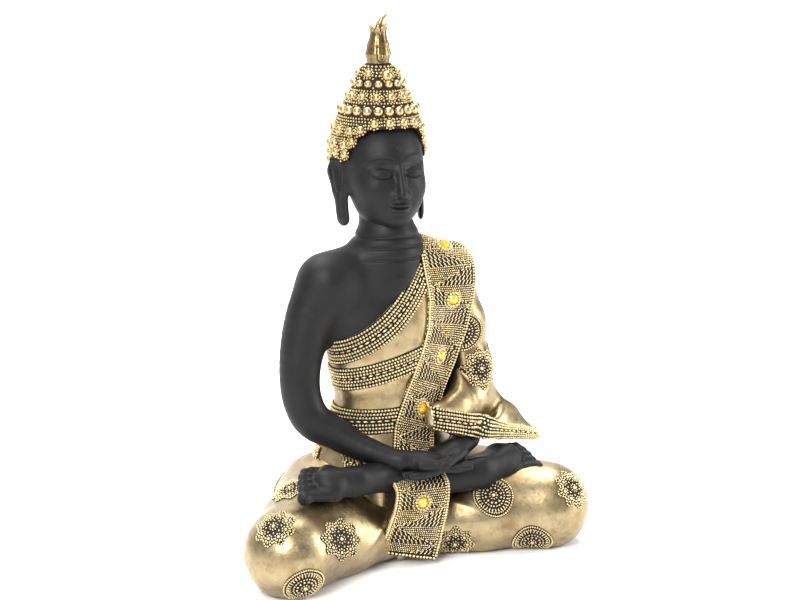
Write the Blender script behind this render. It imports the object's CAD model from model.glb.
"""Looks of the seated statue: sculpted castings, beaded trims and set stones around the CAD frame.

Shapes are worked out in millimetres in the row frame and turned into metres when a mesh is made.
"""
from math import ceil, cos, degrees, hypot, pi, radians, sin
import random

import bpy
import numpy as np
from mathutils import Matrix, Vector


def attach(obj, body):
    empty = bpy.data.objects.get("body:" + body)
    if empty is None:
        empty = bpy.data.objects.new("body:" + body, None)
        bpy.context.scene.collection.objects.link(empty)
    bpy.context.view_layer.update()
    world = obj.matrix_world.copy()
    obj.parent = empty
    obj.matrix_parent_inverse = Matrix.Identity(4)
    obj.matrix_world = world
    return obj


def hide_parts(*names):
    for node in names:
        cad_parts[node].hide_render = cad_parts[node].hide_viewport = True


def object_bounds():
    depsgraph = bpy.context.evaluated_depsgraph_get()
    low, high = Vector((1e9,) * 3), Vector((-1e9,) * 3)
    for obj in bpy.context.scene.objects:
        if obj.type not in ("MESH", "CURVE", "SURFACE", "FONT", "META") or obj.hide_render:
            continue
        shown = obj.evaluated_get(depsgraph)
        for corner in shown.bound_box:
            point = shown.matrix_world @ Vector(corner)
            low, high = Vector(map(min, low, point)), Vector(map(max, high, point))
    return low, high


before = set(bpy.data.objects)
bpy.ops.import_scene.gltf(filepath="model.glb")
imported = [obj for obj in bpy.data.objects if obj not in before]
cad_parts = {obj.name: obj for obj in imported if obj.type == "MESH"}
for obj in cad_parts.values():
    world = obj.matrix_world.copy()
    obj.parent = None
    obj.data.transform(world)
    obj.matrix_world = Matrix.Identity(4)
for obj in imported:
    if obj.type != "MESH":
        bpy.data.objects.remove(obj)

import openvdb
from mathutils import Vector
from mathutils.bvhtree import BVHTree

CAD_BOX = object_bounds()
MM = 0.001
random.seed(11)
LOW = [value / MM for value in CAD_BOX[0]]
HIGH = [value / MM for value in CAD_BOX[1]]
DETAIL = 1.0

# -------- distance fields
# Every field takes the columns (x, y, z) and returns signed distances in mm, negative inside.


def ball(p, c, r):
    return np.sqrt((p[0] - c[0]) ** 2 + (p[1] - c[1]) ** 2 + (p[2] - c[2]) ** 2) - r


def egg(p, c, r):
    x, y, z = ((p[i] - c[i]) / r[i] for i in range(3))
    inner = np.sqrt(x * x + y * y + z * z) + 1e-6
    slope = np.sqrt((x / r[0]) ** 2 + (y / r[1]) ** 2 + (z / r[2]) ** 2) + 1e-6
    return inner * (inner - 1.0) / slope


def cone(p, a, b):
    """Round-ended limb between a and b, each [x, y, z, radius]."""
    ab = [b[i] - a[i] for i in range(3)]
    length2 = sum(v * v for v in ab)
    along = sum((p[i] - a[i]) * ab[i] for i in range(3)) / length2
    t = np.clip(along, 0.0, 1.0)
    gap = sum((p[i] - a[i] - t * ab[i]) ** 2 for i in range(3))
    return np.sqrt(gap) - (a[3] + (b[3] - a[3]) * t)


def blend(a, b, k):
    """Smooth union."""
    h = np.maximum(k - np.abs(a - b), 0.0) / k
    return np.minimum(a, b) - h * h * k * 0.25


def carve(a, b, k):
    """a without b, with a rounded edge."""
    return -blend(-a, b, k)


def keep(a, b, k):
    """What a and b share, with a rounded edge."""
    return -blend(-a, -b, k)


def chain(p, path, k):
    d = cone(p, path[0], path[1])
    for i in range(1, len(path) - 1):
        d = blend(d, cone(p, path[i], path[i + 1]), k)
    return d


def bell(value, width):
    return np.exp(-(value / width) ** 2)


def smooth_lookup(value, knots):
    """Cosine-eased table: knots is a list of (place, result)."""
    places = np.array([k[0] for k in knots], np.float32)
    results = np.array([k[1] for k in knots], np.float32)
    index = np.clip(np.searchsorted(places, value) - 1, 0, len(places) - 2)
    t = np.clip((value - places[index]) / (places[index + 1] - places[index]), 0.0, 1.0)
    left = np.clip(index - 1, 0, len(places) - 1)
    right = np.clip(index + 2, 0, len(places) - 1)
    step = places[index + 1] - places[index]
    slope0 = (results[index + 1] - results[left]) / np.maximum(places[index + 1] - places[left], 1e-6) * step
    slope1 = (results[right] - results[index]) / np.maximum(places[right] - places[index], 1e-6) * step
    t2, t3 = t * t, t * t * t
    return ((2 * t3 - 3 * t2 + 1) * results[index] + (t3 - 2 * t2 + t) * slope0
            + (3 * t2 - 2 * t3) * results[index + 1] + (t3 - t2) * slope1)


# -------- meshes


def mesh_object(name, verts_mm, faces, smooth=True):
    mesh = bpy.data.meshes.new(name)
    verts = np.asarray(verts_mm, np.float32) * MM
    if isinstance(faces, np.ndarray):
        count, sides = faces.shape
        mesh.vertices.add(len(verts))
        mesh.vertices.foreach_set("co", verts.ravel())
        mesh.loops.add(count * sides)
        mesh.loops.foreach_set("vertex_index", faces.astype(np.int32).ravel())
        mesh.polygons.add(count)
        mesh.polygons.foreach_set("loop_start", np.arange(count, dtype=np.int32) * sides)
    else:
        mesh.from_pydata(verts.tolist(), [], faces)
    mesh.polygons.foreach_set("use_smooth", [smooth] * len(mesh.polygons))
    mesh.update(calc_edges=True)
    mesh.validate()
    piece = bpy.data.objects.new(name, mesh)
    bpy.context.collection.objects.link(piece)
    return piece


def sculpt(name, field, low, high, voxel):
    """Mesh of a field's zero surface, evaluated only in the blocks that the surface can cross."""
    voxel = voxel * DETAIL
    block = 8
    low = np.array(low, np.float32) - 2 * voxel
    cells = [int(ceil((high[i] + 2 * voxel - low[i]) / (voxel * block))) for i in range(3)]
    centres = np.stack(np.meshgrid(*[np.arange(n) for n in cells], indexing="ij"), -1).reshape(-1, 3)
    middle = low + (centres * block + (block - 1) / 2.0) * voxel
    coarse = field([middle[:, i].astype(np.float32) for i in range(3)])
    reach = block * voxel * 0.87 * 1.5
    near = np.abs(coarse) < reach
    values = np.repeat(np.sign(coarse)[:, None] * 3 * voxel, block ** 3, axis=1).astype(np.float32)
    offset = np.stack(np.meshgrid(*[np.arange(block)] * 3, indexing="ij"), -1).reshape(-1, 3)
    active = centres[near]
    for start in range(0, len(active), 1500):
        part = active[start:start + 1500]
        points = low + (part[:, None, :] * block + offset[None, :, :]) * voxel
        flat = points.reshape(-1, 3).astype(np.float32)
        fine = field([flat[:, i] for i in range(3)]).reshape(len(part), -1)
        rows = np.flatnonzero(near)[start:start + 1500]
        values[rows] = np.clip(fine, -3 * voxel, 3 * voxel)
    values = values.reshape(cells[0], cells[1], cells[2], block, block, block)
    values = values.transpose(0, 3, 1, 4, 2, 5).reshape([n * block for n in cells])
    grid = openvdb.FloatGrid(3 * voxel)
    grid.copyFromArray(np.ascontiguousarray(values))
    points, quads = grid.convertToQuads(isovalue=0.0)
    points = low + points * voxel
    a, b, c = points[quads[:, 0]], points[quads[:, 1]], points[quads[:, 2]]
    if np.einsum("ij,ij->i", a, np.cross(b, c)).sum() < 0:
        quads = quads[:, ::-1]
    return mesh_object(name, points, quads)


def circle(count, start=0.0):
    """Angles of even steps round a circle."""
    return [2 * pi * (k + start) / count for k in range(count)]


def dome_template(rings=3, sides=8):
    """Bead that sits on a surface: unit radius, axis +Z, open underneath."""
    depth = -0.35
    verts = [(0, 0, 1)]
    for i in range(1, rings + 1):
        angle = radians(90 * i / (rings - 0.5)) if i < rings else pi / 2
        wide = sin(angle)
        verts += [(wide * cos(turn), wide * sin(turn), cos(angle)) for turn in circle(sides, 0.5 * (i % 2))]
    verts += [(0.9 * cos(turn), 0.9 * sin(turn), depth) for turn in circle(sides, 0.5 * (rings % 2))]
    faces = [(0, 1 + k, 1 + (k + 1) % sides) for k in range(sides)]
    for i in range(rings):
        row, after = 1 + i * sides, 1 + (i + 1) * sides
        for k in range(sides):
            k2 = (k + 1) % sides
            faces.append((row + k, after + k, after + k2))
            faces.append((row + k, after + k2, row + k2))
    last = 1 + rings * sides
    faces += [(last, last + k + 1, last + k) for k in range(1, sides - 1)]
    return np.array(verts, np.float32), np.array(faces, np.int32)


BEAD = dome_template()
FINE_BEAD = dome_template(2, 7)
BIG_BEAD = dome_template(6, 20)


def tangents(normal):
    helper = np.where(np.abs(normal[:, 2:3]) < 0.9, [[0.0, 0.0, 1.0]], [[1.0, 0.0, 0.0]])
    across = np.cross(helper, normal)
    across /= np.linalg.norm(across, axis=1, keepdims=True) + 1e-9
    return across, np.cross(normal, across)


class Beads:
    """Collects beads and short rods, and makes one mesh of them."""

    def __init__(self):
        self.rows = []

    def bead(self, point, normal, r, height=None):
        self.rows.append((point, normal, r, r, height or r, None))

    def rod(self, point, normal, along, length, r):
        self.rows.append((point, normal, r, length / 2.0, r, along))

    def build(self, name, template=BEAD):
        verts, faces = template
        points = np.array([row[0] for row in self.rows], np.float64)
        normals = np.array([row[1] for row in self.rows], np.float64)
        normals /= np.linalg.norm(normals, axis=1, keepdims=True) + 1e-9
        across, up = tangents(normals)
        for i, row in enumerate(self.rows):
            if row[5] is not None:
                along = np.array(row[5]) - normals[i] * np.dot(row[5], normals[i])
                up[i] = along / (np.linalg.norm(along) + 1e-9)
                across[i] = np.cross(up[i], normals[i])
        sizes = np.array([[row[2], row[3], row[4]] for row in self.rows])
        local = verts[None, :, :] * sizes[:, None, :]
        world = (points[:, None, :] + local[:, :, 0:1] * across[:, None, :]
                 + local[:, :, 1:2] * up[:, None, :] + local[:, :, 2:3] * normals[:, None, :])
        shift = (np.arange(len(self.rows)) * len(verts))[:, None, None]
        return mesh_object(name, world.reshape(-1, 3), (faces[None] + shift).reshape(-1, 3))

    def gild(self, name, *nodes, template=BEAD):
        finish_piece(self.build(name, template), GOLD, "gold_beads", *nodes)


def finish_piece(piece, material, slot, *nodes):
    """Give a piece its look and slot, ride it on the statue, and let it stand for its CAD nodes."""
    piece.data.materials.clear()
    piece.data.materials.append(material)
    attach(piece, "root")
    if nodes:
        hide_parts(*nodes)
    return piece


# -------- figure


def neighbours(path, i):
    """Stations i - 1 to i + 2 of a path, with its ends repeated."""
    return [path[min(max(k, 0), len(path) - 1)] for k in (i - 1, i, i + 1, i + 2)]


def curve_at(path, place):
    """Point of the smooth curve through a path's stations, at a place counted in stations."""
    t = place - int(place)
    a, b, c, d = neighbours(path, int(place))
    return [0.5 * (2 * b[n] + (c[n] - a[n]) * t + (2 * a[n] - 5 * b[n] + 4 * c[n] - d[n]) * t * t
                   + (3 * b[n] - a[n] - 3 * c[n] + d[n]) * t ** 3) for n in range(len(b))]


def rounded(path, steps=4):
    """The path with more stations, on its smooth curve."""
    return [curve_at(path, i / steps) for i in range((len(path) - 1) * steps)] + [path[-1]]


FELT = 1.0
AXIS = (-3.0, 13.0)
HEAD_X = AXIS[0] - 2.0
CAP_Y = AXIS[1] + 10.0
KNEE_R = 24.5
KNEE_Z = KNEE_R + FELT - 2.0
RIGHT_KNEE = [LOW[0] + KNEE_R, LOW[1] + KNEE_R, KNEE_Z, KNEE_R]
LEFT_KNEE = [HIGH[0] - KNEE_R, LOW[1] + KNEE_R + 12.0, KNEE_Z, KNEE_R]
RIGHT_HIP = [AXIS[0] - 35.0, AXIS[1] + 11.0, 28.0, 31.0]
LEFT_HIP = [AXIS[0] + 37.0, AXIS[1] + 11.0, 28.0, 31.0]
SHINS = [AXIS[0], -2.0, 17.0, 18.0]
# Limbs and edges are chains of stations, each [x, y, z, radius].
RIGHT_ARM = [[-44, 15, 167, 15.5], [-52, 15, 152, 14.6], [-58, 15, 132, 13.2], [-60.5, 14, 112, 12],
             [-59, 12, 97, 11.6], [-54, 8, 86.5, 11.2], [-43, 1, 79.5, 9.8], [-31, -9, 72, 8.0],
             [-12, -24, 65, 6.0]]
SLEEVE = [[38, 15, 162, 15.5], [49, 17, 135, 13], [52, 14, 106, 14], [47, 4, 90, 12]]
LIP_TOP = [[14, -13, 89, 4.5], [34, -14, 83, 4.5], [47, -10, 79, 4.2], [62, -4, 73, 3.6], [90, 3, 63.5, 2.2]]
LIP_LOW = [[14, -15, 83, 4.0], [34, -17, 77, 4.0], [47, -13, 73, 4.0], [62, -7, 69, 3.4], [91, 1, 61, 2.2]]
LEFT_WRIST = [[42, -5, 69.5, 7.6], [24, -21, 67, 6.8], [8, -29, 63, 6]]
RIGHT_PALM = [[-12, -24, 66, 6.0], [0, -28, 64, 6.4], [9, -29, 62.5, 5.5]]
RIGHT_FOOT = [[12, -16, 49, 10.5], [42, -18, 51, 12], [64, -13, 52.5, 10.6]]
LEFT_FOOT = [[-16, -18, 55, 9], [-42, -25, 58.5, 10], [-61, -27, 59.5, 9]]
NECK_BEND = (AXIS[0] - 11.0, 147.0)
CHEST_SLOPE, NECK_SLOPE = 25.0, 57.0
BAND_W = 14.0
BAND_T = 0.9
SASH_T = 1.5
SASH_W = 33.0


def tilted(p, x0, z0, slope):
    """Height above a line through (x0, z0) that rises towards +X at slope degrees."""
    a = radians(slope)
    return (p[2] - z0) * cos(a) - (p[0] - x0) * sin(a)


def neckline(p):
    """Below zero on the robe, above it on bare skin."""
    return blend(tilted(p, *NECK_BEND, CHEST_SLOPE), tilted(p, *NECK_BEND, NECK_SLOPE), 24.0) + 1.5


def trunk(p, grow=0.0):
    """Body from the seat to the base of the neck, as elliptical sections."""
    z = p[2]
    half_x = smooth_lookup(z, [(10, 46), (48, 46), (64, 42), (80, 34.5), (96, 32.5), (118, 35.5), (140, 38.5),
                               (158, 40.5), (172, 38), (184, 26), (196, 10)])
    half_y = smooth_lookup(z, [(10, 37), (48, 38), (64, 33), (80, 27), (96, 24.8), (118, 25), (140, 26.5),
                               (158, 23), (172, 18), (184, 13), (196, 8)])
    mid_y = smooth_lookup(z, [(10, 20), (48, 20), (80, 17.5), (140, 15.5), (196, 15)])
    x, y = (p[0] - AXIS[0]) / half_x, (p[1] - mid_y) / half_y
    radius = np.sqrt(x * x + y * y) + 1e-6
    slope = np.sqrt((x / half_x) ** 2 + (y / half_y) ** 2) + 1e-6
    d = radius * (radius - 1.0) / slope
    d = keep(d, z - 188.0, 8.0)
    d = blend(d, cone(p, [-40, 15, 170, 15.5], [-15, 15, 181, 14]), 10.0)
    d = blend(d, cone(p, [36, 15, 170, 13.5], [8, 15, 182, 13]), 6.0)
    return d - grow


def robe_folds(p):
    """Height of the soft folds in the upper robe."""
    side = np.clip((p[0] + 20.0) / -18.0, 0.0, 1.0)
    drape = 1.1 * side * bell(tilted(p, -30, 84, -28), 3.2)
    drape += 0.9 * side * bell(tilted(p, -30, 74, -12), 3.0)
    drape += 0.5 * np.sin(tilted(p, 0, 110, 21) * 0.42) * bell(p[2] - 112, 16)
    hips = np.clip((72.0 - p[2]) / 14.0, 0.0, 1.0)
    turn = np.arctan2(p[0] - AXIS[0], p[1] - 20.0)
    return drape + 0.8 * hips * np.sin(turn * 11.0 + 0.6 * np.sin(turn * 5.0))


def robe_body(p):
    return trunk(p) - robe_folds(p)


def upper_robe(p):
    d = keep(robe_body(p), neckline(p), 1.2)
    return keep(d, 22.0 - p[2], 1.0)


def legs(p):
    k = 9.0
    thigh_r = chain(p, [RIGHT_HIP, [-64, -8, 26, 27], RIGHT_KNEE], 12.0)
    thigh_l = chain(p, [LEFT_HIP, [62, 0, 27, 27], LEFT_KNEE], 12.0)
    shin_r = chain(p, [RIGHT_KNEE, [-46, -16, 20, 20], SHINS], k)
    shin_l = chain(p, [LEFT_KNEE, [46, -14, 20, 20], SHINS], k)
    d = blend(blend(thigh_r, shin_r, k), blend(thigh_l, shin_l, k), 5.0)
    seat = blend(cone(p, RIGHT_HIP, LEFT_HIP), cone(p, [-20, 12, 22, 20], [14, 12, 22, 20]), 10.0)
    return blend(d, seat, 10.0)


def leg_folds(p):
    crease = 0.7 * bell(tilted(p, -30, 26, 30), 2.0) * bell(p[0] + 30, 9) * bell(p[1] + 34, 12)
    crease += 0.6 * bell(tilted(p, 26, 34, -24), 2.2) * bell(p[0] - 26, 9)
    rear = np.clip((p[1] - 10.0) / 20.0, 0.0, 1.0)
    return crease + 0.7 * rear * np.sin(p[0] * 0.33 + 0.12 * p[2]) * bell(p[2] - 34, 18)


def lower_robe(p):
    d = legs(p) - leg_folds(p)
    return keep(d, FELT - p[2], 0.8)


def sleeve(p):
    d = chain(p, SLEEVE, 8.0)
    d = blend(d, chain(p, [[48, 8, 92, 12], [36, -4, 88, 8.5], [18, -9, 88, 6]], 8.0), 8.0)
    d = blend(d, chain(p, [[50, 8, 88, 11], [66, 1, 74, 5.5], [86, 3, 65, 3]], 8.0), 8.0)
    d = blend(d, cone(p, [53, 12, 98, 10], [84, 4, 68, 3]), 8.0)
    lip = blend(chain(p, LIP_TOP, 3.0), chain(p, LIP_LOW, 3.0), 5.0)
    return blend(d, lip, 6.0)


def sleeve_folds(p):
    fall = p[0] * 0.55 - p[1] * 0.75
    upper = np.clip((150.0 - p[2]) / 30.0, 0.0, 1.0)
    wave = 1.2 * upper * np.sin(fall * 0.36 + (p[2] - 100) * 0.035) * bell(p[2] - 108, 34)
    deep = -1.6 * bell(p[0] - 40.0 - (112 - p[2]) * 0.25, 2.4) * bell(p[2] - 112, 16)
    return wave + deep + 0.9 * np.sin(fall * 0.5) * bell(p[2] - 78, 12)


def left_sleeve(p):
    d = sleeve(p) - sleeve_folds(p)
    mouth = cone(p, [14, -20, 64, 8.0], [40, -12, 60, 8.5])
    return carve(d, mouth, 1.5)


def hand(p, palm, side):
    """Palm-up hand with slightly cupped fingers towards side; the thumb lies in front."""
    d = chain(p, palm, 4.0)
    _, mid, knuckle = palm
    d = blend(d, egg(p, [(mid[0] + knuckle[0]) / 2, mid[1], mid[2] - 0.5], [9.5, 8.6, 5.2]), 3.5)
    reach = [19.0, 21.5, 20.0, 16.0]
    for i in range(4):
        y = knuckle[1] - 6.0 + 4.0 * i
        base = [knuckle[0] - side * 1.0, y, knuckle[2] - 1.0, 2.7]
        bend = [knuckle[0] + side * reach[i] * 0.52, y - 0.4, knuckle[2] - 2.8, 2.45]
        tip = [knuckle[0] + side * reach[i], y - 0.8 + 0.5 * i, knuckle[2] - 2.6, 2.0]
        finger = blend(cone(p, base, bend), cone(p, bend, tip), 1.2)
        d = blend(d, finger, 1.3 if i else 1.0)
    root = [mid[0] - side * 3.0, mid[1] - 5.5, mid[2] + 0.5, 3.2]
    joint = [knuckle[0] - side * 3.0, knuckle[1] - 8.5, knuckle[2] + 2.2, 2.7]
    tip = [knuckle[0] + side * 4.5, knuckle[1] - 7.0, knuckle[2] + 4.2, 2.1]
    thumb = blend(cone(p, root, joint), cone(p, joint, tip), 1.4)
    return blend(d, thumb, 2.6)


def foot(p, path, side):
    """Sole-up foot lying on its side edge, its five toes towards side and the big toe lowest in front."""
    heel, mid, pad = path
    d = chain(p, path, 2.0)
    roll_y, roll_z = 0.82, 0.57
    d = blend(d, cone(p, [pad[0] - side * 2, pad[1] - 4.5, pad[2] - 3.0, 7.0],
                      [pad[0] - side * 4, pad[1] + 6.0, pad[2] + 3.5, 6.0]), 4.0)
    d = blend(d, egg(p, [heel[0], heel[1], heel[2] + 1], [11, 9.5, 8.5]), 5.0)
    arch = egg(p, [mid[0] - side * 3, mid[1] + 4, mid[2] + 14], [18, 9, 6.0])
    d = carve(d, arch, 6.0)
    toes = None
    for r, shift, reach in ((4.4, -7.2, 18.5), (3.4, -1.4, 17.2), (3.25, 2.9, 16.2), (3.1, 6.9, 14.6),
                            (2.8, 10.4, 12.4)):
        y, z = pad[1] + shift * roll_y - 1.0, pad[2] + shift * roll_z - 0.5
        root = [pad[0] + side * 3, y, z, r * 0.9]
        joint = [pad[0] + side * (reach - 5.6), y, z + 0.8, r * 0.86]
        tip = [pad[0] + side * (reach - 1.5), y - 0.4, z + 0.2, r]
        toe = blend(cone(p, root, joint), ball(p, tip, tip[3]), 1.6)
        nail = ball(p, [tip[0] + side * 1.2, tip[1] - r * 0.75, tip[2] + r * 0.35], r * 0.45)
        toe = blend(toe, nail, 0.4)
        toes = toe if toes is None else blend(toes, toe, 0.35)
    return blend(d, toes, 1.6)


def bare_body(p):
    """Chest, neck, right arm and right hand in one skin."""
    chest = trunk(p, -1.0)
    neck = chain(p, [[AXIS[0], 13, 172, 21], [AXIS[0], 13, 186, 17.6], [HEAD_X, 14, 206, 15.4]], 9.0)
    chest = blend(chest, neck, 8.0)
    off_axis = np.sqrt((p[0] - AXIS[0]) ** 2 + (p[1] - 13.0) ** 2)
    round_neck = 1.0 / (1.0 + np.exp((off_axis - 22.5) / 1.2))
    for z0, depth in ((181.5, 1.1), (188.5, 1.0), (194.5, 0.9)):
        ring = p[2] - z0 + 0.06 * (p[1] - 13)
        chest = chest + round_neck * (depth * bell(ring, 0.75) - 0.4 * bell(ring - 3.2, 2.2))
    chest = keep(chest, -neckline(p) - 1.2, 0.8)
    arm = chain(p, rounded(RIGHT_ARM), 0.3)
    d = blend(chest, arm, 13.0)
    return blend(d, hand(p, RIGHT_PALM, 1.0), 2.0)


# -------- head

EYE_Z = 233.0
HEAD_Y = AXIS[1] + 4.5
TILT = radians(4.0)


def to_head(p):
    """Columns in the head's own frame: face towards -Y, eye line at z = 0."""
    y, z = p[1] - HEAD_Y, p[2] - EYE_Z
    return [p[0] - HEAD_X, y * cos(TILT) - z * sin(TILT), y * sin(TILT) + z * cos(TILT)]


def ear(q):
    """Long-lobed ear, mirrored about the middle of the head."""
    x = np.abs(q[0])
    root = 25.2 + 0.30 * (q[1] - 2.0) + 0.4 * bell(q[2] + 20, 10)
    wide = [(x - root) * 2.3, q[1], q[2]]
    plate = cone(wide, [0, 5.5, 0, 8.2], [0, 4.0, -9, 6.2])
    plate = blend(plate, cone(wide, [0, 3.2, -10, 5.2], [0, 1.8, -27, 4.9]), 4.0)
    bowl = cone(wide, [4.4, 4.4, 1.5, 4.9], [4.4, 3.0, -8.5, 3.2])
    plate = carve(plate, bowl, 2.0)
    slit = cone(wide, [6.0, 1.4, -13, 1.6], [6.0, 1.2, -24, 1.6])
    plate = carve(plate, slit, 1.5)
    return plate * 0.5


def face_relief(q):
    """Height of the small features, worked out on the front of the face."""
    x, z = np.abs(q[0]), q[2]
    front = np.clip((-6.0 - q[1]) / 8.0, 0.0, 1.0)
    brow_line = 9.4 - 0.040 * (x - 10.5) ** 2
    brow_span = 1.0 / (1.0 + np.exp((x - 19.0) * 1.2)) * (1.0 - bell(x, 1.6))
    relief = 0.75 * bell(z - brow_line, 0.9) * brow_span
    relief -= 1.5 * bell(x - 8.0, 6.5) * bell(z - 5.0, 2.9)
    relief -= 0.9 * bell(x - 4.2, 2.6) * bell(z + 1.0, 3.0)
    lid_line = -3.3 + 0.045 * (x - 9.8) ** 2
    lid_span = 1.0 / (1.0 + np.exp((np.abs(x - 9.9) - 6.6) * 2.4))
    relief -= 0.60 * bell(z - lid_line, 0.42) * lid_span
    relief += 0.30 * bell(z - lid_line - 0.95, 0.6) * lid_span
    fold_line = 3.0 - 0.060 * (x - 9.8) ** 2
    relief -= 0.30 * bell(z - fold_line, 0.5) * lid_span
    relief -= 0.35 * bell(q[0], 1.5) * bell(z + 17.0, 1.6)
    mouth_line = -20.9 + 0.024 * x * x
    mouth_span = 1.0 / (1.0 + np.exp((x - 7.2) * 2.2))
    relief -= 0.55 * bell(z - mouth_line, 0.42) * mouth_span
    relief -= 0.40 * bell(x - 8.0, 1.2) * bell(z + 19.6, 1.2)
    relief -= 0.50 * bell(q[0], 5.0) * bell(z + 25.0, 1.6)
    return 1.3 * relief * front


def head(p):
    q = to_head(p)
    d = egg(q, [0, 2, 7], [24.6, 27, 27])
    d = blend(d, egg(q, [0, -5, -9], [21.8, 20, 24.5]), 8.0)
    d = blend(d, egg(q, [0, -8, -20], [16.5, 15.5, 13]), 6.0)
    d = blend(d, egg(q, [0, -17.5, -26.5], [7.5, 6, 6]), 5.0)
    mirrored = [np.abs(q[0]), q[1], q[2]]
    d = blend(d, egg(mirrored, [10.5, -14.0, -10], [9, 8.8, 10]), 6.0)
    lid = egg(mirrored, [9.9, -18.3, -0.2], [7.0, 6.0, 4.5])
    d = blend(d, lid, 1.8)
    bridge = cone(q, [0, -23.4, 6, 2.0], [0, -27.6, -10.5, 2.5])
    tip = ball(q, [0, -28.3, -12.6], 2.9)
    wings = ball(mirrored, [3.6, -24.8, -13.2], 2.5)
    nose = blend(blend(bridge, tip, 2.0), wings, 2.0)
    d = blend(d, nose, 2.6)
    d = carve(d, ball(mirrored, [1.9, -27.0, -15.9], 0.9), 1.0)
    upper_lip = egg(mirrored, [1.8, -23.6, -19.3], [5.2, 2.5, 1.5])
    lower_lip = egg(q, [0, -23.3, -22.4], [5.2, 2.6, 1.8])
    d = blend(d, blend(upper_lip, lower_lip, 0.6), 1.2)
    d = d - face_relief(q)
    d = blend(d, ball(q, [0, -24.3, 14.0], 1.1), 0.5)
    d = blend(d, ear(q), 2.2)
    return d


# -------- headdress

CAP_TOP = 296.0
# Radius of the cap by height, and height of its edge by turn from the front.
CAP_KNOTS = [(222, 26.5), (232, 28.4), (243, 29.2), (250, 28.9), (256, 27.6), (262, 25.4), (270, 22.0),
             (276, 18.8), (281, 16.2), (287, 13.4), (291, 12.0), (293.5, 9.5), (CAP_TOP, 7.0)]
HAIR_KNOTS = [(0, 259.5), (32, 259), (46, 256.5), (60, 249), (74, 239), (86, 241.5), (100, 241.5),
              (120, 234), (150, 227), (180, 225.5)]


def cap_radius(z):
    return smooth_lookup(np.asarray(z, np.float32), CAP_KNOTS)


def hairline(turn_degrees):
    return smooth_lookup(np.abs(np.asarray(turn_degrees, np.float32)), HAIR_KNOTS)


def temple(turn_degrees, z):
    """How much the cap draws in at the temples, below the front hairline."""
    return 2.4 * bell(np.abs(turn_degrees) - 56.0, 26.0) * np.clip((262.0 - z) / 10.0, 0.0, 1.0)


def hair_cap(p):
    x, y = p[0] - HEAD_X, p[1] - CAP_Y
    around = np.sqrt(x * x + y * y)
    turn = np.degrees(np.arctan2(np.abs(x), -y))
    d = (around - cap_radius(p[2]) + temple(turn, p[2])) * 0.85
    below = (hairline(turn) - p[2]) * 0.8
    d = keep(d, below, 1.5)
    return keep(d, p[2] - CAP_TOP, 1.0)


def petal(p, turn, top, flare):
    """One petal of the flame: broad at its foot, drawn in, with its tip curling out."""
    c, s = cos(turn), sin(turn)
    x, y = p[0] - HEAD_X, p[1] - CAP_Y
    local = [c * x + s * y, (-s * x + c * y) * 0.66, p[2]]
    path = [[4.2, 0, 295.5, 2.4], [4.9, 0, 301, 2.75], [4.3, 0, 306.5, 2.2], [3.3, 0, 311.5, 1.7],
            [3.5, 0, top - 3.5, 1.25], [4.0 + flare * 0.6, 0, top - 1.2, 0.85], [4.4 + flare, 0, top, 0.4]]
    return chain(local, path, 0.9) + 0.3 * bell(local[1], 0.3) * bell(p[2] - 303, 7)


def finial(p):
    x, y = p[0] - HEAD_X, p[1] - CAP_Y
    around = np.sqrt(x * x + y * y)
    half = smooth_lookup(p[2], [(290, 6.4), (294, 6.3), (299, 5.0), (304, 3.6), (308, 2.2), (312, 0.4),
                                (316, -2.0)])
    d = (around - half) * 0.8
    d = keep(d, 291.0 - p[2], 0.6)
    d = blend(d, keep(around - 7.0, np.abs(p[2] - 294.3) - 0.8, 0.7), 0.4)
    petals = [(316.5, 1.5), (319.5, 1.9), (317.0, 1.6), (320.0, 2.0), (316.0, 1.4), (318.5, 1.8)]
    for k, (top, flare) in enumerate(petals):
        d = blend(d, petal(p, radians(60 * k - 120), top, flare), 0.2)
    plume = [[HEAD_X, CAP_Y - 1, 303, 2.9], [HEAD_X - 0.6, CAP_Y - 1.4, 311, 2.4],
             [HEAD_X - 0.2, CAP_Y - 1.2, 317, 1.9], [HEAD_X + 1.8, CAP_Y - 1.2, 321.3, 1.3],
             [HEAD_X + 4.6, CAP_Y - 1.6, HIGH[2] - 0.8, 0.6]]
    d = blend(d, chain(p, plume, 0.8), 0.3)
    coil = None
    for i in range(22):
        angle = 0.6 - i * 0.42
        spread = 2.5 - i * 0.11
        bead = ball(p, [HEAD_X - 1.6 + spread * cos(angle), CAP_Y - 7.4 + 0.3 * (i < 8),
                        299.6 + spread * sin(angle)], 0.66)
        coil = bead if coil is None else blend(coil, bead, 0.4)
    return blend(d, coil, 0.3)


# -------- beaded trims


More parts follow.
